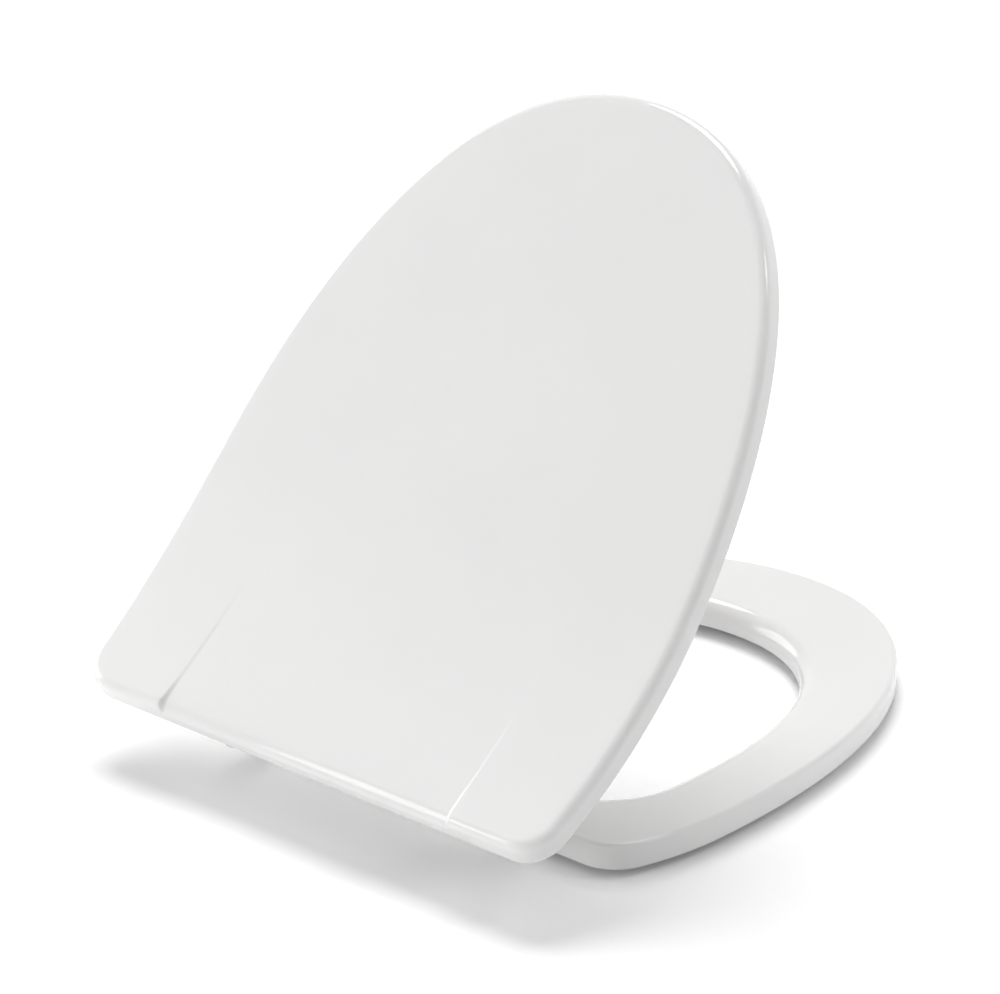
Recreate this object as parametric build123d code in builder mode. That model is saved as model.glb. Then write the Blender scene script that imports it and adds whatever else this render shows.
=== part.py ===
import os
from math import atan, cos, degrees, radians, sin, sqrt, tan

from build123d import *

os.makedirs("parts", exist_ok=True)

# Millimetres. X runs across the seat, +Y to the rear, Z up. The two hub sockets open down at z = 0,
# the hinge axis lies above them along X, and the bowl's rim is below.

# Hinge
fixing_spacing = 155.0  # from stud to stud of the bowl
axis_height = 9.5  # hinge axis above the socket mouths
bowl_drop = 27.0  # bowl rim below the socket mouths
hub_radius = 9.0
hub_length = 26.0
neck_radius = 6.6
socket_radius = 4.5
socket_depth = 11.0
pin_radius = 3.5
pin_seat_depth = 7.0  # how far each pin is pressed into its hub
screw_radius = 2.5
screw_hex = 2.5  # across flats
side_clearance = 0.5  # between a hub and the lug beside it
running_clearance = 0.05  # radial, pin in bush and pin in damper
chamfer_size = 0.6

# Seat ring
ring_half_width = 184.0
ring_widest = -129.0
ring_tip = -428.4
ring_rear = -50.0
ring_rear_taper = 16.0  # how much narrower each side is at the rear
ring_side_handle = 192.0
ring_tip_handle = 107.0
ring_corner_radius = 27.0
ring_thickness = 16.0
ring_edge_radius = 2.5
ring_inner_radius = 11.0  # soft edge around the opening
opening_half_width = 133.7
opening_widest = -148.0
opening_tip = -354.0
opening_rear = -88.0
opening_side_handle = 129.0
opening_tip_handle = 85.0
opening_corner_radius = 52.0
channel_outer_wall = 6.0
channel_inner_wall = 11.0
channel_depth = 9.0
arm_width = 16.5
arm_radius = 10.5
arm_root = 9.0  # how far an arm reaches into the ring
bush_radius = 6.0
bush_flange_radius = 8.5
bush_flange = 1.5

# Buffers
foot_height = 5.6
foot_length = 34.0
foot_width = 15.0
foot_edge = 1.2
stem_radius = 3.5
stem_length = 6.5
stem_end_clearance = 0.5
boss_radius = 8.0
front_buffer_x = 82.0
front_buffer_setback = 57.4  # from the tip of the ring
rear_buffer_y = -118.0
rear_buffer_inset = 29.0  # from the widest part of the ring
lid_buffer_inset = 79.6  # from the widest part of the lid
lid_buffer_setback = 105.0  # from the tip of the lid
lid_buffer_radius = 8.0
lid_boss_recess = 3.0  # lid bosses stop this far inside the rim
closed_clearance = 0.3  # lid buffers above the ring when the lid is shut

# Lid, in its own plane: v runs along it to the rear, n stands out of its face
lid_open_angle = 51.3
lid_ring_gap = 2.1  # lid rim above the ring when shut
lid_half_width = 187.6
lid_widest = -107.0
lid_tip = -432.0
lid_rear = 12.6
lid_rear_taper = 6.3  # how much narrower each side is at the rear
lid_side_handle = 201.0
lid_tip_handle = 120.0
lid_edge = 15.0  # height of the rim
lid_edge_radius = 6.0
lid_corner_radius = 22.0
rim_wall = 6.0
roof = 6.0
tail_length = 170.0  # the rear of the lid sweeps up over this length
tail_rise = 28.9
crease_half_spacing = 114.0
crease_start = -78.0
crease_lead = 0.05  # the lowered middle starts this far above the face
middle_drop = 0.9  # the middle between the creases lies lower towards the rear
roll_start = -14.0  # where the middle starts to roll over the rear edge
roll_end = 5.0  # height of the rear wall left below the roll
roll_share = 0.75  # handles of the roll, as a share of its length and height
rear_ceiling = 3.0  # height of the hollow above the rim at its rear end
lug_width = 18.0
lug_radius = 10.5
lug_front = -34.0
lug_rear = -6.0
lug_bite = 2.5  # how far a lug's plate goes into the roof
damper_radius = 6.5
damper_flange_radius = 8.5
damper_flange = 2.0
damper_end_wall = 2.0

# Worked out from the sizes above
bowl_top = -bowl_drop
ring_bottom = bowl_top + foot_height
ring_top = ring_bottom + ring_thickness
hub_x = fixing_spacing / 2
hub_outer = hub_x + hub_length / 2
hub_inner = hub_x - hub_length / 2
flange_face = hub_outer + side_clearance
arm_inner = flange_face + bush_flange
arm_outer = arm_inner + arm_width
lug_outer = hub_inner - side_clearance
lug_inner = lug_outer - lug_width
ring_front_buffer = (front_buffer_x, ring_tip + front_buffer_setback)
ring_rear_buffer = (ring_half_width - rear_buffer_inset, rear_buffer_y)
lid_buffer = (lid_half_width - lid_buffer_inset, lid_tip + lid_buffer_setback)

opening_angle = radians(lid_open_angle)
lid_plane = Plane(
    origin=(0, 0, axis_height),
    x_dir=(1, 0, 0),
    z_dir=(0, sin(opening_angle), cos(opening_angle)),
)
lid_side = Plane(origin=(0, 0, axis_height), x_dir=lid_plane.y_dir, z_dir=(1, 0, 0))
rim_n = ring_top + lid_ring_gap - axis_height
face_n = rim_n + lid_edge
ceiling_n = face_n - roof
tail_start = lid_rear - tail_length
tail_radius = (tail_length**2 + tail_rise**2) / (2 * tail_rise)
tail_angle = 2 * atan(tail_rise / tail_length)
wall_up = Vector(-sin(tail_angle), cos(tail_angle))
wall_back = Vector(cos(tail_angle), sin(tail_angle))
rear_low = Vector(lid_rear, rim_n + tail_rise)
rear_high = rear_low + wall_up * lid_edge
ceiling_end = rear_low + wall_up * rear_ceiling - wall_back * rim_wall
ceiling_rise = ceiling_end.Y - ceiling_n
ceiling_run = ceiling_end.X - tail_start
ceiling_radius = (ceiling_run**2 + ceiling_rise**2) / (2 * ceiling_rise)
plan_heights = (rim_n - lid_edge, rim_n + tail_rise + 2 * lid_edge)  # below and above the whole lid
flank_radius = ((lid_rear - lid_widest) ** 2 + lid_rear_taper**2) / (2 * lid_rear_taper)
handle_share = 0.55  # how much a curve handle gives when its outline is inset
tail_overrun = 1.2  # the swept band runs on past the rear wall, which trims it
reach = 2 * lid_half_width  # longer than any cut across the lid


def sweep_up(v, start_n, radius):
    """Height of a surface that is flat in front of the tail and curves up behind its start."""
    return start_n + radius - sqrt(radius**2 - max(v - tail_start, 0) ** 2)


def face_height(v):
    return sweep_up(v, face_n, tail_radius - lid_edge)


def ceiling_height(v):
    return sweep_up(v, ceiling_n, ceiling_radius)


def draw_front(half_width, widest, tip, side_handle, tip_handle):
    """Right half of an egg-shaped front, from its tip to where it is widest."""
    return Bezier(
        (0, tip),
        (tip_handle, tip),
        (half_width, widest - side_handle),
        (half_width, widest),
    )


def draw_ring(inset):
    """Right half of the ring's outline, or of one that lies inset inside it."""
    give = handle_share * inset
    front = draw_front(
        ring_half_width - inset,
        ring_widest,
        ring_tip + inset,
        ring_side_handle - give,
        ring_tip_handle - give,
    )
    rear_corner = (ring_half_width - ring_rear_taper - inset, ring_rear - inset)
    flank = TangentArc(front @ 1, rear_corner, tangent=(0, 1))
    Line(flank @ 1, (0, ring_rear - inset))


def draw_opening(grow):
    """Right half of the opening's outline, or of one that lies grow outside it."""
    give = handle_share * grow
    front = draw_front(
        opening_half_width + grow,
        opening_widest,
        opening_tip - grow,
        opening_side_handle + give,
        opening_tip_handle + give,
    )
    flank = Line(front @ 1, (opening_half_width + grow, opening_rear + grow))
    Line(flank @ 1, (0, opening_rear + grow))


# Seat ring
with BuildPart() as seat_ring:
    with BuildSketch(Plane.XY.offset(ring_bottom)) as ring_outline:
        with BuildLine():
            draw_ring(0)
            mirror(about=Plane.YZ)
        make_face()
        fillet(ring_outline.vertices().group_by(Axis.Y)[-1], ring_corner_radius)
    extrude(amount=ring_thickness)
    with BuildSketch(Plane.XY.offset(ring_bottom)) as opening:
        with BuildLine():
            draw_opening(0)
            mirror(about=Plane.YZ)
        make_face()
        fillet(opening.vertices().group_by(Axis.Y)[-1], opening_corner_radius)
    extrude(amount=ring_thickness, mode=Mode.SUBTRACT)
    top_face = seat_ring.faces().sort_by(Axis.Z)[-1]
    fillet(top_face.inner_wires()[0].edges(), ring_inner_radius)
    top_face = seat_ring.faces().sort_by(Axis.Z)[-1]
    fillet(top_face.outer_wire().edges(), ring_edge_radius)

    # Hollow underside, with a boss for each buffer
    with BuildSketch(Plane.XY.offset(ring_bottom), mode=Mode.PRIVATE) as channel_inside:
        with BuildLine():
            draw_opening(channel_inner_wall)
            mirror(about=Plane.YZ)
        make_face()
        inside_radius = opening_corner_radius + channel_inner_wall
        fillet(channel_inside.vertices().group_by(Axis.Y)[-1], inside_radius)
    with BuildSketch(Plane.XY.offset(ring_bottom)) as channel:
        with BuildLine():
            draw_ring(channel_outer_wall)
            mirror(about=Plane.YZ)
        make_face()
        fillet(channel.vertices().group_by(Axis.Y)[-1], ring_corner_radius - channel_outer_wall)
        add(channel_inside.sketch_local, mode=Mode.SUBTRACT)
    extrude(amount=channel_depth, mode=Mode.SUBTRACT)
    ring_buffer_places = [(s * x, y) for s in (-1, 1) for x, y in (ring_front_buffer, ring_rear_buffer)]
    with BuildSketch(Plane.XY.offset(ring_bottom)):
        with Locations(ring_buffer_places):
            Circle(boss_radius)
    extrude(amount=channel_depth)

    # Arms to the hinge axis
    for arm_start in (arm_inner, -arm_outer):
        with BuildSketch(Plane.YZ.offset(arm_start)):
            with BuildLine():
                CenterArc((0, axis_height), arm_radius, 0, 360)
                root_y = ring_rear - arm_root
                Line((root_y, ring_bottom), (root_y, ring_top - ring_edge_radius))
            make_hull()
        extrude(amount=arm_width)
    with BuildSketch(Plane.YZ.offset(-arm_outer)):
        with Locations((0, axis_height)):
            Circle(bush_radius)
    extrude(amount=2 * arm_outer, mode=Mode.SUBTRACT)
    with BuildSketch(Plane.XY.offset(ring_bottom)):
        with Locations(ring_buffer_places):
            Circle(stem_radius)
    extrude(amount=stem_length + stem_end_clearance, mode=Mode.SUBTRACT)
seat_ring.part.label = "seat_ring"
export_step(seat_ring.part, "parts/seat_ring.step")


def draw_lid_plan(n):
    """Half of the lid's outline at height n; the rear wall leans forward as it goes up."""
    rear = rear_low.X - (n - rear_low.Y) * tan(tail_angle)
    rear_half_width = lid_half_width - flank_radius + sqrt(flank_radius**2 - (rear - lid_widest) ** 2)
    lid_front = draw_front(lid_half_width, lid_widest, lid_tip, lid_side_handle, lid_tip_handle)
    flank = TangentArc(lid_front @ 1, (rear_half_width, rear), tangent=(0, 1))
    Line(flank @ 1, (0, rear))


# Hollow under the lid's roof
with BuildPart() as hollow:
    for n in plan_heights:
        with BuildSketch(lid_plane.offset(n)) as plan:
            with BuildLine():
                draw_lid_plan(n)
                mirror(about=Plane.YZ)
            make_face()
            fillet(plan.vertices().group_by(Axis.Y)[-1], lid_corner_radius)
            offset(amount=-rim_wall)
    loft(ruled=True)
    with BuildSketch(lid_side):
        with BuildLine():
            ceiling_tail = JernArc((tail_start, ceiling_n), (1, 0), ceiling_radius, degrees(tail_angle))
            Polyline(
                ceiling_tail @ 1,
                (ceiling_tail @ 1 + Vector(lid_edge, 0)),
                (ceiling_tail.end_point().X + lid_edge, plan_heights[0]),
                (lid_tip, plan_heights[0]),
                (lid_tip, ceiling_n),
                ceiling_tail @ 0,
            )
        make_face()
    extrude(amount=reach, both=True, mode=Mode.INTERSECT)

# Lid
with BuildPart() as lid:
    for n in plan_heights:
        with BuildSketch(lid_plane.offset(n)) as plan:
            with BuildLine():
                draw_lid_plan(n)
                mirror(about=Plane.YZ)
            make_face()
            fillet(plan.vertices().group_by(Axis.Y)[-1], lid_corner_radius)
    loft(ruled=True)
    with BuildSketch(lid_side):
        with BuildLine():
            sweep = tail_overrun * degrees(tail_angle)
            rim_tail = JernArc((tail_start, rim_n), (1, 0), tail_radius, sweep)
            face_tail = JernArc((tail_start, face_n), (1, 0), tail_radius - lid_edge, sweep)
            Line(rim_tail @ 1, face_tail @ 1)
            Polyline(
                face_tail @ 0,
                (lid_tip - lid_edge, face_n),
                (lid_tip - lid_edge, rim_n),
                rim_tail @ 0,
            )
        make_face()
    extrude(amount=reach, both=True, mode=Mode.INTERSECT)
    upper_faces = lid.faces().filter_by(lambda f: f.normal_at().dot(lid_plane.z_dir) > 0.9)
    upper_edges = upper_faces.edges().filter_by(
        lambda e: abs(lid_plane.to_local_coords(e.center()).Y - tail_start) > 1
    )
    fillet(upper_edges, lid_edge_radius)

    # Between the creases the face lies lower and rolls over the rear edge
    with BuildSketch(lid_side):
        with BuildLine():
            crease_middle = (crease_start + roll_start) / 2
            dip = ThreePointArc(
                (crease_start, face_height(crease_start) + crease_lead),
                (crease_middle, face_height(crease_middle) - middle_drop / 2),
                (roll_start, face_height(roll_start) - middle_drop),
            )
            roll_foot = rear_low + wall_up * roll_end
            roll_along = (dip % 1) * (roll_share * (lid_rear - roll_start))
            roll_up = wall_up * (roll_share * (lid_edge - middle_drop - roll_end))
            roll = Bezier(dip @ 1, dip @ 1 + roll_along, roll_foot + roll_up, roll_foot)
            beyond = lid_rear + lid_edge
            above = rear_high.Y + lid_edge
            Polyline(roll @ 1, (beyond, roll_foot.Y), (beyond, above), (crease_start, above), dip @ 0)
        make_face()
    extrude(amount=crease_half_spacing, both=True, mode=Mode.SUBTRACT)
    add(hollow.part, mode=Mode.SUBTRACT)

    # Lugs that hang from the roof around the hinge axis
    for lug_start in (lug_inner, -lug_outer):
        with BuildSketch(lid_side.offset(lug_start)):
            with BuildLine():
                CenterArc((0, 0), lug_radius, 0, 360)
                Line(
                    (lug_front, ceiling_height(lug_front) + lug_bite),
                    (lug_rear, ceiling_height(lug_rear) + lug_bite),
                )
            make_hull()
        extrude(amount=lug_width)
    with BuildSketch(lid_side.offset(-lug_outer)):
        Circle(damper_radius)
    extrude(amount=2 * lug_outer, mode=Mode.SUBTRACT)

    # Bosses for the lid's buffers
    lid_boss_n = rim_n + lid_boss_recess
    lid_buffer_places = [(s * lid_buffer[0], lid_buffer[1]) for s in (-1, 1)]
    with BuildSketch(lid_plane.offset(lid_boss_n)):
        with Locations(lid_buffer_places):
            Circle(boss_radius)
    extrude(amount=ceiling_n - lid_boss_n)
    with BuildSketch(lid_plane.offset(lid_boss_n)):
        with Locations(lid_buffer_places):
            Circle(stem_radius)
    extrude(amount=stem_length + stem_end_clearance, mode=Mode.SUBTRACT)
lid.part.label = "lid"
export_step(lid.part, "parts/lid.step")

# Hinge pieces, the same on both sides; way is the sign of X
for side, way in (("left", -1), ("right", 1)):
    hub_plane = Plane(origin=(way * hub_x, 0, axis_height), x_dir=(0, 1, 0), z_dir=(way, 0, 0))
    socket_plane = Plane(origin=(way * hub_x, 0, 0))

    # Hub: a barrel with a neck, a socket from below and a seat for a pin in each end
    with BuildPart() as hub:
        with BuildSketch(hub_plane.offset(-hub_length / 2)):
            Circle(hub_radius)
        extrude(amount=hub_length)
        chamfer(hub.edges(), chamfer_size)
        with BuildSketch(socket_plane):
            Circle(neck_radius)
        extrude(amount=axis_height)
        with BuildSketch(socket_plane):
            Circle(socket_radius)
        extrude(amount=socket_depth, mode=Mode.SUBTRACT)
        for seat_start in (-hub_length / 2, hub_length / 2 - pin_seat_depth):
            with BuildSketch(hub_plane.offset(seat_start)):
                Circle(pin_radius)
            extrude(amount=pin_seat_depth, mode=Mode.SUBTRACT)
        with BuildSketch(Plane(origin=(way * hub_x, 0, axis_height), x_dir=(1, 0, 0), z_dir=(0, 1, 0))):
            Circle(screw_radius)
        extrude(amount=hub_radius, mode=Mode.SUBTRACT)
    hub.part.label = f"hinge_hub_{side}"
    export_step(hub.part, f"parts/hinge_hub_{side}.step")

    # Grub screw between the hub's rear and its socket
    with BuildPart() as screw:
        screw_plane = Plane(
            origin=(way * hub_x, socket_radius, axis_height), x_dir=(1, 0, 0), z_dir=(0, 1, 0)
        )
        with BuildSketch(screw_plane):
            Circle(screw_radius)
        extrude(amount=hub_radius - socket_radius - chamfer_size)
        with BuildSketch(screw_plane.offset(hub_radius - socket_radius - chamfer_size)):
            RegularPolygon(screw_hex / 2, 6, major_radius=False)
        extrude(amount=-(hub_radius - socket_radius) / 2, mode=Mode.SUBTRACT)
    screw.part.label = f"hub_grub_screw_{side}"
    export_step(screw.part, f"parts/hub_grub_screw_{side}.step")

    # Pin and flanged bush for the ring, outside the hub
    with BuildPart() as ring_pin:
        with BuildSketch(hub_plane.offset(hub_length / 2 - pin_seat_depth)):
            Circle(pin_radius)
        extrude(amount=pin_seat_depth + side_clearance + bush_flange + arm_width)
        chamfer(ring_pin.edges(), chamfer_size)
    ring_pin.part.label = f"ring_pin_{side}"
    export_step(ring_pin.part, f"parts/ring_pin_{side}.step")

    with BuildPart() as bush:
        with BuildSketch(hub_plane.offset(hub_length / 2 + side_clearance)):
            Circle(bush_flange_radius)
        extrude(amount=bush_flange)
        with BuildSketch(hub_plane.offset(hub_length / 2 + side_clearance)):
            Circle(bush_radius)
        extrude(amount=bush_flange + arm_width)
        with BuildSketch(hub_plane.offset(hub_length / 2 + side_clearance)):
            Circle(pin_radius + running_clearance)
        extrude(amount=bush_flange + arm_width, mode=Mode.SUBTRACT)
    bush.part.label = f"ring_bush_{side}"
    export_step(bush.part, f"parts/ring_bush_{side}.step")

    # Pin and damper cartridge for the lid, inside the hub
    lug_face = -hub_length / 2 - side_clearance
    with BuildPart() as lid_pin:
        with BuildSketch(hub_plane.offset(pin_seat_depth - hub_length / 2)):
            Circle(pin_radius)
        extrude(amount=-(pin_seat_depth + side_clearance + lug_width - damper_end_wall))
        chamfer(lid_pin.edges(), chamfer_size)
    lid_pin.part.label = f"lid_pin_{side}"
    export_step(lid_pin.part, f"parts/lid_pin_{side}.step")

    with BuildPart() as damper:
        with BuildSketch(hub_plane.offset(lug_face)):
            Circle(damper_radius)
        extrude(amount=-lug_width)
        with BuildSketch(hub_plane.offset(lug_face - lug_width)):
            Circle(damper_flange_radius)
        extrude(amount=-damper_flange)
        with BuildSketch(hub_plane.offset(lug_face)):
            Circle(pin_radius + running_clearance)
        extrude(amount=-lug_width, mode=Mode.SUBTRACT)
    damper.part.label = f"lid_damper_{side}"
    export_step(damper.part, f"parts/lid_damper_{side}.step")

    # Feet pushed into the ring's underside
    for place, (foot_x, foot_y) in (("front", ring_front_buffer), ("rear", ring_rear_buffer)):
        foot_plane = Plane(origin=(way * foot_x, foot_y, bowl_top))
        with BuildPart() as foot:
            with BuildSketch(foot_plane):
                SlotOverall(foot_length, foot_width, rotation=90)
            extrude(amount=foot_height)
            chamfer(foot.edges().group_by(Axis.Z)[0], foot_edge)
            with BuildSketch(foot_plane.offset(foot_height)):
                Circle(stem_radius)
            extrude(amount=stem_length)
        foot.part.label = f"ring_buffer_{place}_{side}"
        export_step(foot.part, f"parts/ring_buffer_{place}_{side}.step")

    # Buffer pushed into the lid's underside
    pad_height = lid_ring_gap + lid_boss_recess - closed_clearance
    with BuildPart() as pad:
        pad_plane = Plane(
            origin=lid_plane.from_local_coords((way * lid_buffer[0], lid_buffer[1], lid_boss_n)),
            x_dir=(1, 0, 0),
            z_dir=lid_plane.z_dir,
        )
        with BuildSketch(pad_plane):
            Circle(lid_buffer_radius)
        extrude(amount=-pad_height)
        chamfer(pad.edges().sort_by(Axis(pad_plane.origin, pad_plane.z_dir))[0], foot_edge)
        with BuildSketch(pad_plane):
            Circle(stem_radius)
        extrude(amount=stem_length)
    pad.part.label = f"lid_buffer_{side}"
    export_step(pad.part, f"parts/lid_buffer_{side}.step")
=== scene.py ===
import math

import bpy
import numpy as np
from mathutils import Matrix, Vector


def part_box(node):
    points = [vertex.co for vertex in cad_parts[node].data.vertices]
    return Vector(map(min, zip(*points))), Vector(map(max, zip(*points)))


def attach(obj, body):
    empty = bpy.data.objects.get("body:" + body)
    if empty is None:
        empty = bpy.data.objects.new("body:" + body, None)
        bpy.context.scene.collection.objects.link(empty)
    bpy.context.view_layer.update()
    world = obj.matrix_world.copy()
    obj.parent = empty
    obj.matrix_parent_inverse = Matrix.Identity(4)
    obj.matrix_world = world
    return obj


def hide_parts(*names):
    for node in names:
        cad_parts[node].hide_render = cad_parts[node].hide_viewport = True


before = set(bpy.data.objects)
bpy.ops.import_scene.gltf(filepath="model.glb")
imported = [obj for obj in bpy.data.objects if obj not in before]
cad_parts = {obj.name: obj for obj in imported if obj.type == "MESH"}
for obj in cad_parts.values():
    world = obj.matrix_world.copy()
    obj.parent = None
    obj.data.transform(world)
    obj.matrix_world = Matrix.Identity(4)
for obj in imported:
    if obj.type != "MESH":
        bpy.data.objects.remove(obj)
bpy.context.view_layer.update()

# Sizes are in millimetres, in the CAD frame: X across, +Y to the rear, Z up. Meshes are made in metres.
mm = 0.001
quarter = math.pi / 2
print("frame loaded:", len(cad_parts), "nodes")


def nodeBox(node):  # a node's lowest and highest corner, in millimetres
    low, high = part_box(node)
    return np.array(low) / mm, np.array(high) / mm


pinLow, pinHigh = nodeBox("ring_pin_left")
footLow, footHigh = nodeBox("ring_buffer_front_left")
axisHeight = float(pinLow[2] + pinHigh[2]) / 2  # the hinge axis runs along X at y = 0
floorHeight = float(footLow[2])


# meshes from numpy arrays

sharpAngle = 40.0  # edges that turn by more than this stay crisp


def meshPiece(name, points, faces, material, body, slot):
    mesh = bpy.data.meshes.new(name)
    mesh.from_pydata((np.asarray(points) * mm).tolist(), [], faces)
    mesh.validate()
    mesh.shade_smooth()
    mesh.set_sharp_from_angle(angle=math.radians(sharpAngle))
    piece = bpy.data.objects.new(name, mesh)
    bpy.context.scene.collection.objects.link(piece)
    mesh.materials.append(material)
    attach(piece, body)
    print("piece:", name, len(points), "points")
    return piece


def gridFaces(rows, columns):
    # quads between neighbouring rows and columns of a grid that is closed both ways
    r, c = np.meshgrid(np.arange(rows), np.arange(columns), indexing="ij")
    below = (r + 1) % rows * columns
    beside = (c + 1) % columns
    here = r * columns
    return np.stack([here + c, here + beside, below + beside, below + c], -1).reshape(-1, 4)


def outwardQuads(points, quads):
    # The signed volume is a sixth of the sum of triple products over the two triangles of each quad.
    # Where it is negative, every face is turned round.
    p = np.asarray(points)[np.asarray(quads)]
    first = np.einsum("ij,ij->i", p[:, 0], np.cross(p[:, 1], p[:, 2]))
    second = np.einsum("ij,ij->i", p[:, 0], np.cross(p[:, 2], p[:, 3]))
    return quads[:, ::-1] if (first + second).sum() < 0 else quads


def joinGrids(grids):
    # several closed grids as one piece
    faces, points, first = [], [], 0
    for grid in grids:
        flat = grid.reshape(-1, 3)
        faces.append(outwardQuads(flat, gridFaces(*grid.shape[:2])) + first)
        points.append(flat)
        first += len(flat)
    return np.vstack(points), np.vstack(faces).tolist()


def smoothStep(x):
    # 3x² - 2x³ between 0 and 1, flat at both ends
    x = np.clip(x, 0, 1)
    return x * x * (3 - 2 * x)


# outlines

def eggOutline(shape, counts):
    # Right half of an outline from its tip to the end of its rear corner, in three stretches: a cubic
    # Bezier front, a flank arc that starts along Y, and a corner arc tangent to the flank and the rear.
    t = np.linspace(0, 1, counts["front"], endpoint=False)[:, None]
    tip = np.array([0, shape["tip"]])
    tipHandle = np.array([shape["tipHandle"], shape["tip"]])
    sideHandle = np.array([shape["halfWidth"], shape["widest"] - shape["sideHandle"]])
    side = np.array([shape["halfWidth"], shape["widest"]])
    front = (1 - t) ** 3 * tip + 3 * t * (1 - t) ** 2 * tipHandle
    front = front + 3 * t * t * (1 - t) * sideHandle + t**3 * side
    run = shape["rear"] - shape["widest"]
    flankRadius = (run**2 + shape["taper"] ** 2) / (2 * shape["taper"])
    flankMiddle = np.array([shape["halfWidth"] - flankRadius, shape["widest"]])
    corner = shape["cornerRadius"]
    rise = run - corner
    cornerMiddle = flankMiddle + [math.sqrt((flankRadius - corner) ** 2 - rise**2), rise]
    turn = math.asin(rise / (flankRadius - corner))  # where the flank arc meets the corner arc
    a = np.linspace(0, turn, counts["flank"], endpoint=False)[:, None]
    flank = flankMiddle + flankRadius * np.hstack([np.cos(a), np.sin(a)])
    a = np.linspace(turn, quarter, counts["corner"])[:, None]
    bend = cornerMiddle + corner * np.hstack([np.cos(a), np.sin(a)])
    return np.vstack([front, flank, bend])


def closeOutline(half, rearRow):
    # the right half, the rear row from right to left, and the mirrored half back to the tip
    rear = np.stack([rearRow, np.full(len(rearRow), half[-1, 1])], -1)
    return np.vstack([half[:-1], rear, half[1:-1][::-1] * [-1, 1]])


def outwardNormals(loop):
    # the chord from the point before to the point after, turned a quarter clockwise
    chord = np.roll(loop, -1, 0) - np.roll(loop, 1, 0)
    chord = chord / np.linalg.norm(chord, axis=1, keepdims=True)
    return np.stack([chord[:, 1], -chord[:, 0]], -1)


# finishes

noiseMiddle = (0.35, 0.65)  # where most of a noise texture's values lie
noiseDetail = {"cloud": 3, "gloss": 2, "relief": 1}


def addNode(tree, kind, **settings):
    node = tree.nodes.new(kind)
    for key, value in settings.items():
        setattr(node, key, value)
    return node


def noiseOn(tree, scale, detail, stretch):
    # noise over Object coordinates, which may be drawn out along one axis
    where = addNode(tree, "ShaderNodeTexCoord")
    mapping = addNode(tree, "ShaderNodeMapping")
    mapping.inputs["Scale"].default_value = stretch
    noise = addNode(tree, "ShaderNodeTexNoise")
    noise.inputs["Scale"].default_value = scale
    noise.inputs["Detail"].default_value = detail
    tree.links.new(where.outputs["Object"], mapping.inputs["Vector"])
    tree.links.new(mapping.outputs["Vector"], noise.inputs["Vector"])
    return noise.outputs["Fac"]


def spread(tree, fac, low, high):
    # brings the middle of the noise to low to high
    ramp = addNode(tree, "ShaderNodeMapRange")
    ramp.inputs["From Min"].default_value = noiseMiddle[0]
    ramp.inputs["From Max"].default_value = noiseMiddle[1]
    ramp.inputs["To Min"].default_value = low
    ramp.inputs["To Max"].default_value = high
    tree.links.new(fac, ramp.inputs["Value"])
    return ramp.outputs["Result"]


def tint(tree, fac, colours):
    # blends two colours over the middle of the noise
    ramp = addNode(tree, "ShaderNodeValToRGB")
    for stop, place, colour in zip(ramp.color_ramp.elements, noiseMiddle, colours):
        stop.position = place
        stop.color = (*colour, 1)
    tree.links.new(fac, ramp.inputs["Fac"])
    return ramp.outputs["Color"]


def makeFinish(finish):
    # cloudy colour, uneven gloss and a fine relief, each from its own noise
    material = bpy.data.materials.new(finish["name"])
    material.use_nodes = True
    tree = material.node_tree
    shader = next(n for n in tree.nodes if n.type == "BSDF_PRINCIPLED")
    shader.inputs["Metallic"].default_value = finish["metallic"]
    shader.inputs["IOR"].default_value = finish["ior"]
    shader.inputs["Anisotropic"].default_value = finish["anisotropy"]
    cloud = noiseOn(tree, finish["cloudScale"], noiseDetail["cloud"], finish["stretch"])
    tree.links.new(tint(tree, cloud, finish["colours"]), shader.inputs["Base Color"])
    gloss = noiseOn(tree, finish["glossScale"], noiseDetail["gloss"], finish["stretch"])
    tree.links.new(spread(tree, gloss, *finish["roughness"]), shader.inputs["Roughness"])
    relief = noiseOn(tree, finish["reliefScale"], noiseDetail["relief"], finish["stretch"])
    bump = addNode(tree, "ShaderNodeBump")
    bump.inputs["Strength"].default_value = finish["relief"]
    bump.inputs["Distance"].default_value = finish["reliefDepth"] * mm
    tree.links.new(relief, bump.inputs["Height"])
    tree.links.new(bump.outputs["Normal"], shader.inputs["Normal"])
    return material


whiteGloss = makeFinish({
    "name": "whiteThermoset", "metallic": 0.0, "ior": 1.52, "anisotropy": 0.0, "stretch": (1, 1, 1),
    "colours": ((0.744, 0.739, 0.737), (0.756, 0.751, 0.747)), "cloudScale": 9.0,
    "roughness": (0.07, 0.11), "glossScale": 45.0,
    "relief": 0.08, "reliefDepth": 0.04, "reliefScale": 260.0,
})
brushedSteel = makeFinish({
    "name": "brushedSteel", "metallic": 1.0, "ior": 2.5, "anisotropy": 0.4, "stretch": (1, 40, 40),
    "colours": ((0.52, 0.52, 0.53), (0.66, 0.66, 0.66)), "cloudScale": 30.0,
    "roughness": (0.2, 0.34), "glossScale": 60.0,
    "relief": 0.15, "reliefDepth": 0.03, "reliefScale": 120.0,
})
bearingPlastic = makeFinish({
    "name": "bearingPlastic", "metallic": 0.0, "ior": 1.48, "anisotropy": 0.0, "stretch": (1, 1, 1),
    "colours": ((0.56, 0.565, 0.57), (0.62, 0.62, 0.62)), "cloudScale": 160.0,
    "roughness": (0.38, 0.5), "glossScale": 240.0,
    "relief": 0.25, "reliefDepth": 0.05, "reliefScale": 1800.0,
})
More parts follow.
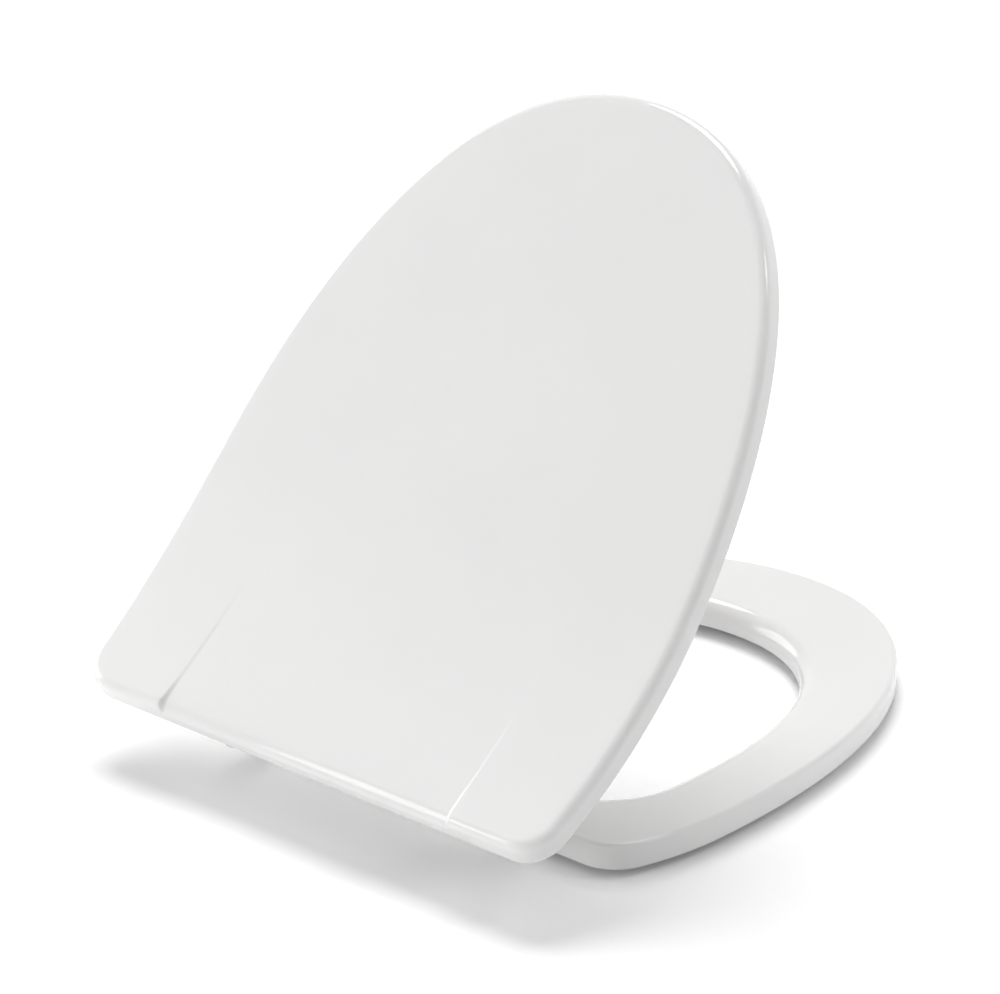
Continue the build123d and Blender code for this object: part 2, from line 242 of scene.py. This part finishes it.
bufferRubber = makeFinish({
    "name": "bufferRubber", "metallic": 0.0, "ior": 1.5, "anisotropy": 0.0, "stretch": (1, 1, 1),
    "colours": ((0.5, 0.5, 0.49), (0.57, 0.57, 0.555)), "cloudScale": 120.0,
    "roughness": (0.55, 0.72), "glossScale": 200.0,
    "relief": 0.35, "reliefDepth": 0.08, "reliefScale": 1500.0,
})
print("finishes made")

nodeFinish = {
    "hinge_hub": brushedSteel,
    "hub_grub_screw": brushedSteel,
    "ring_pin": brushedSteel,
    "lid_pin": brushedSteel,
    "ring_bush": bearingPlastic,
    "lid_damper": bearingPlastic,
    "lid_buffer": bufferRubber,
    "ring_buffer": bufferRubber,
}
for nodeName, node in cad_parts.items():
    for start, finish in nodeFinish.items():
        if nodeName.startswith(start):
            node.data.materials.clear()
            node.data.materials.append(finish)


# lid: a shell that bends up over its rear stretch, worked out flat and then bent

lidShape = {
    "halfWidth": 187.6, "widest": -107.0, "tip": -432.0, "rear": 12.6, "taper": 6.3,
    "sideHandle": 201.0, "tipHandle": 120.0, "cornerRadius": 22.0,
    "openAngle": 51.3, "rimBelowAxis": 12.8, "tailLength": 170.0, "tailRise": 28.9,
    "edge": 15.0, "edgeRadius": 6.0, "rimWall": 6.0, "footRadius": 1.0,
    "ceiling": 9.0, "rearCeiling": 3.0, "ceilingRadius": 1.5,  # heights of the hollow above the rim
    "crown": 1.0, "crownFade": 120.0,  # the face stands this much higher along its middle
    "creaseHalfSpacing": 112.5, "creaseStart": -135.0,
    "creaseWidth": 2.8, "creaseSpread": 0.3,  # of the step, and what each millimetre of height adds
    "creaseFoot": 0.25,  # share of that width by which the close mesh reaches in past its foot
    "middleDrop": 0.55, "dipPower": 2.0,  # the middle dips, then rolls over the rear edge
    "rollStart": -14.0, "rollSag": 2.6, "rollEdge": 8.0, "rollEnd": 5.5,
}
leastWidth = 0.001  # keeps the row at the tip from being divided by nothing
lidCounts = {
    "front": 90, "flank": 46, "corner": 18, "middle": 70, "crease": 12, "flap": 20,
    "round": 11, "wall": 5, "foot": 5, "fillet": 6,
}
tailStart = lidShape["rear"] - lidShape["tailLength"]
tailRadius = (lidShape["tailLength"] ** 2 + lidShape["tailRise"] ** 2) / (2 * lidShape["tailRise"])


def flatLength(v):
    # length along the rim's arc for a place v behind the start of the tail
    past = np.maximum(v - tailStart, 0)
    return np.minimum(v, tailStart) + tailRadius * np.arcsin(past / tailRadius)


def turnLid(u, v, n):
    # from the lid's own axes, across, along and out of its face, turned up round the hinge axis
    a = math.radians(lidShape["openAngle"])
    y = v * math.cos(a) + n * math.sin(a)
    z = axisHeight - v * math.sin(a) + n * math.cos(a)
    return np.stack(np.broadcast_arrays(u, y, z), -1)


def bendLid(u, along, height):
    # A point of the flat lid, across, along and above the rim's underside. Behind tailStart the lid is
    # wrapped round an axis that lies tailRadius above it, so its walls stay square to its face.
    turn = np.maximum(along - tailStart, 0) / tailRadius
    v = np.minimum(along, tailStart) + (tailRadius - height) * np.sin(turn)
    n = -lidShape["rimBelowAxis"] + tailRadius - (tailRadius - height) * np.cos(turn)
    return turnLid(u, v, n)


lidRear = float(flatLength(lidShape["rear"]))
creaseRun = lidRear - float(flatLength(lidShape["creaseStart"]))
rollRun = lidRear - float(flatLength(lidShape["rollStart"]))
# the dip at the rear edge, carried on from its depth where the roll starts, and what is left for the roll
dipEnd = lidShape["middleDrop"] * (creaseRun / (creaseRun - rollRun)) ** lidShape["dipPower"]
rollFall = lidShape["edge"] - lidShape["rollEnd"] - lidShape["rollSag"] - dipEnd


def quarterFall(x, run, fall):
    # how far a quarter ellipse, run long and fall high, has dropped at a distance x from its foot
    return fall * (1 - np.sqrt(1 - np.clip((run - x) / run, 0, 1) ** 2))


def middleFall(x):
    # between the creases, at a distance x from the rear: a dip that grows with a power of the way past its
    # start, a sag that grows with the square, and a quarter ellipse over the edge
    dip = dipEnd * np.clip((creaseRun - x) / creaseRun, 0, 1) ** lidShape["dipPower"]
    sag = lidShape["rollSag"] * np.clip((rollRun - x) / rollRun, 0, 1) ** 2
    return dip + sag + quarterFall(x, lidShape["rollEdge"], rollFall)


def edgeFall(x):
    # the rounded edge of the flaps, a quarter circle
    return quarterFall(x, lidShape["edgeRadius"], lidShape["edgeRadius"])


def creaseWidth(x):
    # the step's width, which grows with the step's height
    return lidShape["creaseWidth"] + lidShape["creaseSpread"] * (middleFall(x) - edgeFall(x))


def middleShare(u, x):
    # 1 between the creases, then falling smoothly to 0 over the width of each step
    return 1 - smoothStep((np.abs(u) - lidShape["creaseHalfSpacing"]) / creaseWidth(x))


def buildLid():
    half = eggOutline(lidShape, lidCounts)
    half[:, 1] = flatLength(half[:, 1])
    rows = len(half)
    wide = np.arange(rows) >= lidCounts["front"]
    middle = np.linspace(-1, 1, lidCounts["middle"] + 1)
    bundle = np.append(-lidShape["creaseFoot"], np.linspace(0, 1, lidCounts["crease"]))
    flap = np.linspace(0, 1, lidCounts["flap"] + 1)

    def columnsAt(side):
        # places across every row: a flap, a close bundle up each crease, the middle, the other flap
        width = side[:, :1]
        scale = np.where(wide[:, None], 1, width / lidShape["halfWidth"])
        crease = scale * lidShape["creaseHalfSpacing"]
        step = scale * creaseWidth(lidRear - side[:, 1:])
        right = crease + step * bundle
        out = right[:, -1:] + (width - right[:, -1:]) * flap[1:]
        inner = right[:, :1] * middle[1:-1]
        return np.hstack([-out[:, ::-1], -right[:, ::-1], inner, right, out])

    rearRow = columnsAt(half)[-1][::-1]
    loop = closeOutline(half, rearRow)
    normals = outwardNormals(loop)
    columns = len(rearRow)

    def insideGrid(inset):
        # rows from side to side of the outline set in by inset, the last of them along the rear
        side = half - normals[:rows] * inset
        side[0] = [0, half[0, 1] + inset]
        side[-1] = [half[-1, 0], lidRear - inset]
        u = columnsAt(side)
        u[-1] = rearRow[::-1]
        return u, np.repeat(side[:, 1:], columns, 1)

    # face: the rim's height and a crown that falls off with the square of the place across, less the
    # dip and the roll between the creases
    u, along = insideGrid(lidShape["edgeRadius"])
    crown = 1 - (u / np.maximum(u[:, -1:], leastWidth)) ** 2
    crown = crown * smoothStep((along - lidShape["tip"]) / lidShape["crownFade"])
    crown = crown * smoothStep((lidRear - along) / lidShape["crownFade"])
    fallen = middleShare(u, lidRear - along) * middleFall(lidRear - along)
    face = bendLid(u, along, lidShape["edge"] + lidShape["crown"] * crown - fallen)

    # ceiling of the hollow: level, then falling with the square of the place along the tail
    wall, fillet, foot = lidShape["rimWall"], lidShape["ceilingRadius"], lidShape["footRadius"]
    cu, calong = insideGrid(wall + fillet)
    back = np.clip((calong - tailStart) / (lidRear - tailStart), 0, 1)
    ceilingUp = lidShape["ceiling"] + (lidShape["rearCeiling"] - lidShape["ceiling"]) * back**2
    ceiling = bendLid(cu, calong, ceilingUp)

    def rim(values):  # a grid's edge values in the order of the loop
        return np.concatenate([values[:, -1], values[-1, ::-1][1:-1], values[:, 0][::-1][:-1]])

    # band: how far in from the outline, and how high, at each station over the edge, down the wall,
    # round the foot and up inside to the ceiling
    flat = np.zeros(len(loop))
    a = np.linspace(0, quarter, lidCounts["round"])[1:, None]
    overEdge = lidShape["edgeRadius"] * (1 - np.sin(a)) + flat
    share = np.zeros((len(overEdge), len(loop)))
    rearPart = slice(rows - 1, rows - 1 + columns)
    share[:, rearPart] = middleShare(rearRow[None], overEdge[:, rearPart])
    edgeUp = lidShape["edge"] - share * middleFall(overEdge) - (1 - share) * edgeFall(overEdge)
    w = np.linspace(0, 1, lidCounts["wall"])[1:, None]
    wallUp = edgeUp[-1] + (foot - edgeUp[-1]) * w
    a = np.linspace(0, quarter, lidCounts["foot"])[:, None]
    b = np.linspace(0, quarter, lidCounts["fillet"])[:-1, None]
    inset = np.vstack([
        overEdge,
        0 * wallUp,
        foot * (1 - np.cos(a[1:])) + flat,
        wall - foot * np.cos(a) + flat,
        wall + fillet * (1 - np.cos(b)) + flat,
    ])
    up = np.vstack([
        edgeUp,
        wallUp,
        foot * (1 - np.sin(a[1:])) + flat,
        foot * (1 - np.cos(a)) + flat,
        rim(ceilingUp) - fillet * (1 - np.sin(b)),
    ])
    place = loop[None] - normals[None] * inset[..., None]
    band = bendLid(place[..., 0], place[..., 1], up)

    # points in order: the face's rows, the band's stations, the ceiling's rows; the tips are single points
    stations, around = inset.shape
    points = np.vstack([face.reshape(-1, 3), band.reshape(-1, 3), ceiling.reshape(-1, 3)])
    number = np.arange(rows * columns).reshape(rows, columns)
    number[0] = 0
    bandStart = rows * columns
    bandNumber = bandStart + np.arange(stations * around).reshape(stations, around)
    ceilingNumber = number + bandStart + stations * around
    loops = np.vstack([rim(number)[None], bandNumber, rim(ceilingNumber)[None]])
    following = np.roll(loops, -1, 1)
    sides = np.stack([loops[:-1], loops[1:], following[1:], following[:-1]], -1).reshape(-1, 4)

    def cover(n):  # quads between neighbouring rows and columns of a grid that is open both ways
        return np.stack([n[:-1, :-1], n[:-1, 1:], n[1:, 1:], n[1:, :-1]], -1).reshape(-1, 4)

    quads = outwardQuads(points, np.vstack([cover(number), sides, cover(ceilingNumber)[:, ::-1]]))
    faces = [list(dict.fromkeys(q)) for q in quads.tolist()]  # a quad at a tip loses its doubled point
    return points, [f for f in faces if len(f) > 2]


lidShell = meshPiece("lidShell", *buildLid(), whiteGloss, "lid", "white_thermoset")
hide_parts("lid")


# seat ring: one closed profile carried round the outline and the opening together

stemLength = 6.5  # of the feet and of the lid's buffers
ringShape = {
    "halfWidth": 184.0, "widest": -129.0, "tip": -428.4, "rear": -50.0, "taper": 16.0,
    "sideHandle": 192.0, "tipHandle": 107.0, "cornerRadius": 27.0,
    "bottom": float(footHigh[2]) - stemLength, "thickness": 16.0,
    "edgeRadius": 2.5, "innerRadius": 11.0, "footRadius": 1.2, "crown": 0.2,
    "outerWall": 6.0, "innerWall": 11.0, "channelDepth": 9.0, "channelRadius": 1.5,
}
openingShape = {
    "halfWidth": 133.7, "widest": -148.0, "tip": -354.0, "rear": -88.0, "taper": 0.05,
    "sideHandle": 129.0, "tipHandle": 85.0, "cornerRadius": 52.0,
}
ringCounts = {
    "front": 90, "flank": 14, "corner": 18, "rear": 30,
    "foot": 5, "wall": 6, "edge": 10, "top": 26, "inner": 16, "channel": 12,
}


def ringLoop(shape):
    # both loops have the same number of points, evenly spaced along the rear
    half = eggOutline(shape, ringCounts)
    return closeOutline(half, np.linspace(half[-1, 0], -half[-1, 0], ringCounts["rear"]))


def buildRing():
    outer, opening = ringLoop(ringShape), ringLoop(openingShape)
    bottom = ringShape["bottom"]
    top = bottom + ringShape["thickness"]
    deep = bottom + ringShape["channelDepth"]
    edge, soft, foot = ringShape["edgeRadius"], ringShape["innerRadius"], ringShape["footRadius"]
    fill, outerWall, innerWall = ringShape["channelRadius"], ringShape["outerWall"], ringShape["innerWall"]

    # stations: share from outline to opening, set in from the outline, set out from the opening, height
    stations = []

    def add(share, inset, outset, height):
        stations.append(np.stack(np.broadcast_arrays(share, inset, outset, height), -1).astype(float))

    footTurn = np.linspace(0, quarter, ringCounts["foot"])
    edgeTurn = np.linspace(0, quarter, ringCounts["edge"])
    innerTurn = np.linspace(0, quarter, ringCounts["inner"])
    across = np.linspace(0, 1, ringCounts["top"])[1:-1]
    under = np.linspace(1, 0, ringCounts["channel"])[1:-1]
    bulge = ringShape["crown"] * (4 * across * (1 - across)) ** 2  # a squared parabola, flat at both edges
    add(0, foot * (1 - np.sin(footTurn)), 0, bottom + foot * (1 - np.cos(footTurn)))
    add(0, 0, 0, np.linspace(bottom + foot, top - edge, ringCounts["wall"])[1:-1])
    add(0, edge * (1 - np.cos(edgeTurn)), 0, top - edge * (1 - np.sin(edgeTurn)))
    add(across, edge, soft, top + bulge)
    add(1, 0, soft * (1 - np.sin(innerTurn)), top - soft * (1 - np.cos(innerTurn)))
    add(1, 0, 0, np.linspace(top - soft, bottom + foot, ringCounts["wall"])[1:-1])
    add(1, 0, foot * (1 - np.cos(footTurn)), bottom + foot * (1 - np.sin(footTurn)))
    add(1, 0, innerWall - foot * np.cos(footTurn), bottom + foot * (1 - np.cos(footTurn)))
    add(1, 0, innerWall + fill * (1 - np.cos(footTurn)), deep - fill * (1 - np.sin(footTurn)))
    add(under, outerWall + fill, innerWall + fill, deep)
    add(0, outerWall + fill * (1 - np.sin(footTurn)), 0, deep - fill * (1 - np.cos(footTurn)))
    add(0, outerWall - foot * (1 - np.cos(footTurn)), 0, bottom + foot * (1 - np.sin(footTurn)))
    share, inset, outset, height = np.vstack(stations).T[:, :, None]
    fromOuter = outer - outwardNormals(outer) * inset[..., None]
    fromOpening = opening + outwardNormals(opening) * outset[..., None]
    plan = fromOuter * (1 - share[..., None]) + fromOpening * share[..., None]
    heights = np.broadcast_to(height[..., None], (*plan.shape[:2], 1))
    return joinGrids([np.concatenate([plan, heights], -1)])


ringShell = meshPiece("ringShell", *buildRing(), whiteGloss, "ring", "white_thermoset")
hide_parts("seat_ring")


# brackets: the ring's arms and the lid's lugs, each a rounded plate bored along the hinge axis

armShape = {"radius": 10.5, "rootInset": 9.0, "edge": 1.2, "bore": 6.0, "flange": 1.5}
lugShape = {
    "radius": 10.5, "edge": 1.0, "bore": 6.5, "flange": 2.0,
    "root": ((-34.0, 10.5), (-6.0, 16.5)),  # the two ends of its root in the roof, along and out of the lid
}
bracketCounts = {"turns": 120, "ways": 720, "edge": 6, "end": 4, "bore": 4}
leastCosine = 0.02  # directions nearly square to an angle, or behind it, say nothing about its reach


def hullReach(points, radius, angles):
    # Distance from the axis to the edge of the hull of a disc and some points, along each angle: the
    # least, over all directions, of the hull's reach that way over the cosine between the two.
    ways = np.linspace(-math.pi, math.pi, bracketCounts["ways"], endpoint=False)
    unit = np.stack([np.cos(ways), np.sin(ways)], -1)
    reach = np.maximum((unit @ np.asarray(points, float).T).max(1), radius)
    cosine = np.cos(angles[:, None] - ways[None])
    facing = cosine > leastCosine
    return np.where(facing, reach[None] / np.where(facing, cosine, 1), np.inf).min(1)


def buildBracket(shape, root, start, end):
    # radius from the axis at each angle: over one rounded edge, along the outside, over the other edge,
    # in along the end, back through the bore and out along the start
    angles = np.linspace(-math.pi, math.pi, bracketCounts["turns"], endpoint=False)
    reach = hullReach(root, shape["radius"], angles)
    bore = np.full(len(angles), shape["bore"])
    edge = shape["edge"]
    a = np.linspace(0, quarter, bracketCounts["edge"])
    drop = np.concatenate([edge * (1 - np.cos(a[::-1])), edge * (1 - np.cos(a))])
    outside = reach[None] - drop[:, None]
    radius = np.vstack([
        outside,
        np.linspace(outside[-1], bore, bracketCounts["end"])[1:],
        np.repeat(bore[None], bracketCounts["bore"], 0),
        np.linspace(bore, outside[0], bracketCounts["end"])[1:-1],
    ])
    across = np.concatenate([
        start + edge * (1 - np.sin(a[::-1])),
        end - edge * (1 - np.sin(a)),
        np.full(bracketCounts["end"] - 1, end),
        np.linspace(end, start, bracketCounts["bore"]),
        np.full(bracketCounts["end"] - 2, start),
    ])
    return np.broadcast_to(across[:, None], radius.shape), radius * np.cos(angles), radius * np.sin(angles)


def bracketPair(shape, root, bearing):
    # one on each side, as wide as its bearing less the flange, which is on the side nearer the middle
    left, right = nodeBox(bearing + "left"), nodeBox(bearing + "right")
    return [
        buildBracket(shape, root, left[0][0], left[1][0] - shape["flange"]),
        buildBracket(shape, root, right[0][0] + shape["flange"], right[1][0]),
    ]


armRoot = ringShape["rear"] - armShape["rootInset"]
armLow = ringShape["bottom"] - axisHeight
armHigh = armLow + ringShape["thickness"] - ringShape["edgeRadius"]
arms = bracketPair(armShape, ((armRoot, armLow), (armRoot, armHigh)), "ring_bush_")
armGrids = [np.stack([x, y, z + axisHeight], -1) for x, y, z in arms]
meshPiece("ringArms", *joinGrids(armGrids), whiteGloss, "ring", "white_thermoset")

lugs = bracketPair(lugShape, lugShape["root"], "lid_damper_")
lugGrids = [turnLid(u, v, n) for u, v, n in lugs]
meshPiece("lidLugs", *joinGrids(lugGrids), whiteGloss, "lid", "white_thermoset")


# bosses: short tubes that the buffers' stems are pushed into

bossShape = {
    "radius": 8.0, "bore": 3.5, "edge": 0.5, "turns": 48,
    "bite": 1.0,  # how far it stands into the moulding
    "recess": 3.0,  # the lid's bosses end this far above its rim
    "lidPlaces": ((-108.0, -327.0), (108.0, -327.0)),  # across and along the lid
}


def buildBoss(height):
    # a profile of radius and height turned round: up the bore, out over the top, down, over the edge
    radius, bore, edge = bossShape["radius"], bossShape["bore"], bossShape["edge"]
    reach = np.array([bore, bore, bore, radius, radius, radius, radius - edge])[:, None]
    rise = np.array([0, height / 2, height, height, height / 2, edge, 0])[:, None]
    a = np.linspace(0, 2 * math.pi, bossShape["turns"], endpoint=False)
    return np.stack(np.broadcast_arrays(reach * np.cos(a), reach * np.sin(a), rise), -1)


ringBosses = []
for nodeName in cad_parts:
    if nodeName.startswith("ring_buffer"):
        low, high = nodeBox(nodeName)
        middle = (low + high) / 2
        boss = buildBoss(ringShape["channelDepth"] + bossShape["bite"])
        ringBosses.append(boss + [middle[0], middle[1], ringShape["bottom"]])
meshPiece("ringBosses", *joinGrids(ringBosses), whiteGloss, "ring", "white_thermoset")

lidBosses = []
for u, v in bossShape["lidPlaces"]:
    boss = buildBoss(lidShape["ceiling"] - bossShape["recess"] + bossShape["bite"])
    n = boss[..., 2] + bossShape["recess"] - lidShape["rimBelowAxis"]
    lidBosses.append(turnLid(boss[..., 0] + u, boss[..., 1] + v, n))
meshPiece("lidBosses", *joinGrids(lidBosses), whiteGloss, "lid", "white_thermoset")


# camera

cameraView = {
    "place": (-1924.7, 1939.8, 1283.4), "aim": (2.3, -144.7, 132.6), "lens": 189.1, "sensor": 36.0,
    "clipEnd": 100000.0,
}


def turnBack(way):
    # turns a camera or lamp, which looks along its own -Z, so that +Z points back along way
    x, y, z = way
    return math.atan2(math.hypot(x, y), z), 0, math.atan2(x, -y)


def makeCamera(view):
    data = bpy.data.cameras.new("camera")
    data.lens = view["lens"]
    data.sensor_width = view["sensor"]
    data.clip_end = view["clipEnd"] * mm
    camera = bpy.data.objects.new("camera", data)
    bpy.context.scene.collection.objects.link(camera)
    camera.location = np.array(view["place"]) * mm
    camera.rotation_euler = turnBack(np.subtract(view["place"], view["aim"]))
    bpy.context.scene.camera = camera


makeCamera(cameraView)


# stage: a pale floor, a white surround and soft lamps

stageLook = {
    "floorReach": 12000.0, "floorColour": (0.95, 0.95, 0.952), "floorLift": 0.06,
    "ambient": 0.1, "surround": 1.0,  # the world's strength as a light, and as it is seen
    "lamps": {  # where the light comes from, its strength, its angle across, and if reflections show it
        "back": {"source": (0.36, -0.35, 0.87), "strength": 2.05, "angle": 34.0, "mirrored": True},
        "front": {"source": (-0.2, 0.45, 0.87), "strength": 0.55, "angle": 60.0, "mirrored": True},
        "leftFront": {"source": (0.31, 0.935, 0.17), "strength": 1.1, "angle": 38.0, "mirrored": False},
        "leftBack": {"source": (0.95, 0.255, 0.17), "strength": 1.3, "angle": 44.0, "mirrored": True},
        "right": {"source": (-0.72, -0.67, 0.17), "strength": 0.75, "angle": 50.0, "mirrored": False},
        "rightBack": {"source": (-0.32, -0.87, 0.37), "strength": 0.55, "angle": 50.0, "mirrored": False},
        "rightEdge": {"source": (-0.48, -0.4, 0.78), "strength": 0.25, "angle": 10.0, "mirrored": True},
    },
    "softbox": {
        "place": (545.0, 785.0, 200.0), "aim": (-80.0, 20.0, 10.0), "size": (210.0, 430.0), "power": 0.95,
    },
}


def seenDirectly(tree):
    # 1 for camera, glossy and transmission rays
    path = addNode(tree, "ShaderNodeLightPath")
    either = addNode(tree, "ShaderNodeMath", operation="MAXIMUM")
    every = addNode(tree, "ShaderNodeMath", operation="MAXIMUM")
    tree.links.new(path.outputs["Is Camera Ray"], either.inputs[0])
    tree.links.new(path.outputs["Is Glossy Ray"], either.inputs[1])
    tree.links.new(either.outputs[0], every.inputs[0])
    tree.links.new(path.outputs["Is Transmission Ray"], every.inputs[1])
    return every.outputs[0]


def makeWorld():
    world = bpy.data.worlds.new("surround")
    bpy.context.scene.world = world
    world.use_nodes = True
    tree = world.node_tree
    background = next(n for n in tree.nodes if n.type == "BACKGROUND")
    background.inputs["Color"].default_value = (1, 1, 1, 1)
    level = addNode(tree, "ShaderNodeMapRange")
    level.inputs["To Min"].default_value = stageLook["ambient"]
    level.inputs["To Max"].default_value = stageLook["surround"]
    tree.links.new(seenDirectly(tree), level.inputs["Value"])
    tree.links.new(level.outputs["Result"], background.inputs["Strength"])


def makeFloor():
    corners = np.array([[-1, -1, 0], [1, -1, 0], [1, 1, 0], [-1, 1, 0]]) * stageLook["floorReach"]
    corners[:, 2] = floorHeight
    mesh = bpy.data.meshes.new("floor")
    mesh.from_pydata((corners * mm).tolist(), [], [(0, 1, 2, 3)])
    floor = bpy.data.objects.new("floor", mesh)
    bpy.context.scene.collection.objects.link(floor)
    material = bpy.data.materials.new("paleFloor")
    material.use_nodes = True
    tree = material.node_tree
    tree.nodes.clear()
    diffuse = addNode(tree, "ShaderNodeBsdfDiffuse")
    diffuse.inputs["Color"].default_value = (*stageLook["floorColour"], 1)
    glow = addNode(tree, "ShaderNodeEmission")
    lift = addNode(tree, "ShaderNodeMath", operation="MULTIPLY")
    lift.inputs[1].default_value = stageLook["floorLift"]
    both = addNode(tree, "ShaderNodeAddShader")
    output = addNode(tree, "ShaderNodeOutputMaterial")
    tree.links.new(seenDirectly(tree), lift.inputs[0])
    tree.links.new(lift.outputs[0], glow.inputs["Strength"])
    tree.links.new(diffuse.outputs[0], both.inputs[0])
    tree.links.new(glow.outputs[0], both.inputs[1])
    tree.links.new(both.outputs[0], output.inputs["Surface"])
    mesh.materials.append(material)


def makeLamp(name, look):
    data = bpy.data.lights.new(name, "SUN")
    data.energy = look["strength"]
    data.angle = math.radians(look["angle"])
    lamp = bpy.data.objects.new(name, data)
    bpy.context.scene.collection.objects.link(lamp)
    lamp.rotation_euler = turnBack(look["source"])
    lamp.visible_glossy = look["mirrored"]


def makeSoftbox(look):
    # a small lamp beside the lid, whose reflection runs along its rear edge
    data = bpy.data.lights.new("softbox", "AREA")
    data.shape = "RECTANGLE"
    data.size, data.size_y = np.array(look["size"]) * mm
    data.energy = look["power"]
    lamp = bpy.data.objects.new("softbox", data)
    bpy.context.scene.collection.objects.link(lamp)
    lamp.visible_camera = False
    lamp.location = np.array(look["place"]) * mm
    lamp.rotation_euler = turnBack(np.subtract(look["place"], look["aim"]))


makeWorld()
makeFloor()
for lampName, lampLook in stageLook["lamps"].items():
    makeLamp(lampName, lampLook)
makeSoftbox(stageLook["softbox"])
bpy.context.scene.view_settings.view_transform = "Standard"
print("stage set")
